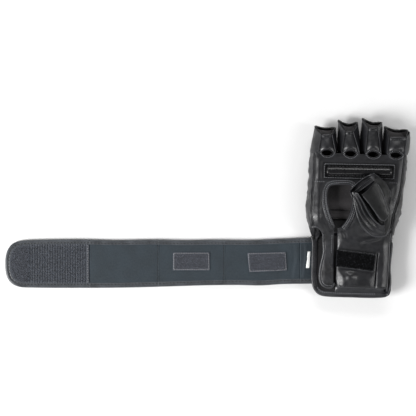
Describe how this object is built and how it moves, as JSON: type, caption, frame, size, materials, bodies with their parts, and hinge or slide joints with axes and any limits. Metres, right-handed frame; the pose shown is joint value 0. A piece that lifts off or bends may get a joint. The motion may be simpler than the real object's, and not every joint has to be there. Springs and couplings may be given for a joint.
{
  "type": "mma glove",
  "caption": "Open-finger leather grappling glove lying palm up, with a palm hole, a grip bar, a folded thumb stall and a long wrist strap laid out flat.",
  "frame": {"origin": "centre of the whole outline, on the surface that the glove lies on", "axes": "+X from the strap's tip to the thumb side, +Y towards the fingers, +Z out of the palm"},
  "size_m": [0.4602, 0.205, 0.0553],
  "materials": {
    "leather": "black grained leather, semi-gloss",
    "strap_leather": "dark grey grained leather, satin",
    "lining": "black knitted lining",
    "strap_lining": "blue-grey woven lining",
    "foam": "closed-cell foam, charcoal",
    "hook": "ribbed nylon hook tape",
    "loop": "black fuzzy loop tape",
    "label": "white satin label, blank"
  },
  "bodies": {
    "glove": {"back_cover": "leather", "hand_pad": "foam", "knuckle_pad": "foam", "hand_lining": "lining", "lining_band": "lining", "side_panel_little": "leather", "side_panel_thumb": "leather", "palm_panel": "leather", "palm_hole_binding": "leather", "grip_patch": "leather", "grip_bar": "leather", "cuff_cover": "leather", "cuff_pad": "foam", "cuff_lining": "lining", "cuff_binding": "leather", "back_loop_patch": "loop", "strap_anchor": "strap_leather"},
    "finger_little": {"finger_little_cover": "leather", "finger_little_pad": "foam", "finger_little_strip": "leather", "finger_little_gusset_left": "leather", "finger_little_gusset_right": "leather"},
    "finger_ring": {"finger_ring_cover": "leather", "finger_ring_pad": "foam", "finger_ring_strip": "leather", "finger_ring_gusset_left": "leather", "finger_ring_gusset_right": "leather"},
    "finger_middle": {"finger_middle_cover": "leather", "finger_middle_pad": "foam", "finger_middle_strip": "leather", "finger_middle_gusset_left": "leather", "finger_middle_gusset_right": "leather"},
    "finger_index": {"finger_index_cover": "leather", "finger_index_pad": "foam", "finger_index_strip": "leather", "finger_index_gusset_left": "leather", "finger_index_gusset_right": "leather"},
    "thumb": {"thumb_front": "leather", "thumb_back": "leather", "thumb_gusset_left": "leather", "thumb_gusset_right": "leather"},
    "wrist_tab": {"wrist_tab": "leather", "tab_loop_patch": "loop"},
    "palm_tongue": {"palm_tongue": "leather", "tongue_binding": "leather"},
    "strap_1": {"strap_leather_1": "strap_leather", "strap_lining_1": "strap_lining", "care_label": "label"},
    "strap_2": {"strap_leather_2": "strap_leather", "strap_lining_2": "strap_lining", "hook_patch_1": "hook", "closing_loop": "loop"},
    "strap_3": {"strap_leather_3": "strap_leather", "strap_lining_3": "strap_lining", "hook_patch_2": "hook"},
    "strap_4": {"strap_leather_4": "strap_leather", "strap_lining_4": "strap_lining", "hook_panel": "hook"}
  },
  "joints": [
    {"name": "strap_root", "type": "hinge", "parent": "glove", "child": "strap_1", "pos_m": [0.11925, -0.0626, 0.0044], "axis": [0, 1, 0], "range_deg": [0, 90]},
    {"name": "strap_crease", "type": "hinge", "parent": "strap_1", "child": "strap_2", "pos_m": [0.09385, -0.0626, 0.0044], "axis": [0, 1, 0], "range_deg": [0, 90]},
    {"name": "strap_bend_middle", "type": "hinge", "parent": "strap_2", "child": "strap_3", "pos_m": [0.00565, -0.0626, 0.0044], "axis": [0, 1, 0], "range_deg": [0, 50]},
    {"name": "strap_bend_end", "type": "hinge", "parent": "strap_3", "child": "strap_4", "pos_m": [-0.06385, -0.0626, 0.0044], "axis": [0, 1, 0], "range_deg": [0, 130]},
    {"name": "little_finger_bend", "type": "hinge", "parent": "glove", "child": "finger_little", "pos_m": [0.13695, 0.06215, 0.034], "axis": [1, 0, 0], "range_deg": [0, 35]},
    {"name": "ring_finger_bend", "type": "hinge", "parent": "glove", "child": "finger_ring", "pos_m": [0.16315, 0.06123, 0.034], "axis": [1, 0, 0], "range_deg": [0, 35]},
    {"name": "middle_finger_bend", "type": "hinge", "parent": "glove", "child": "finger_middle", "pos_m": [0.18865, 0.06034, 0.034], "axis": [1, 0, 0], "range_deg": [0, 35]},
    {"name": "index_finger_bend", "type": "hinge", "parent": "glove", "child": "finger_index", "pos_m": [0.21425, 0.05944, 0.034], "axis": [1, 0, 0], "range_deg": [0, 35]},
    {"name": "thumb_lift", "type": "hinge", "parent": "glove", "child": "thumb", "pos_m": [0.21438, -0.02383, 0.026], "axis": [-0.7961, -0.6051, 0], "range_deg": [-75, 0]},
    {"name": "wrist_tab_open", "type": "hinge", "parent": "glove", "child": "wrist_tab", "pos_m": [0.19379, -0.0679, 0.0231], "axis": [-0.0759, -0.9971, 0], "range_deg": [-110, 0]},
    {"name": "palm_tongue_lift", "type": "hinge", "parent": "glove", "child": "palm_tongue", "pos_m": [0.13865, -0.0282, 0.0272], "axis": [1, 0, 0], "range_deg": [-60, 0]}
  ]
}
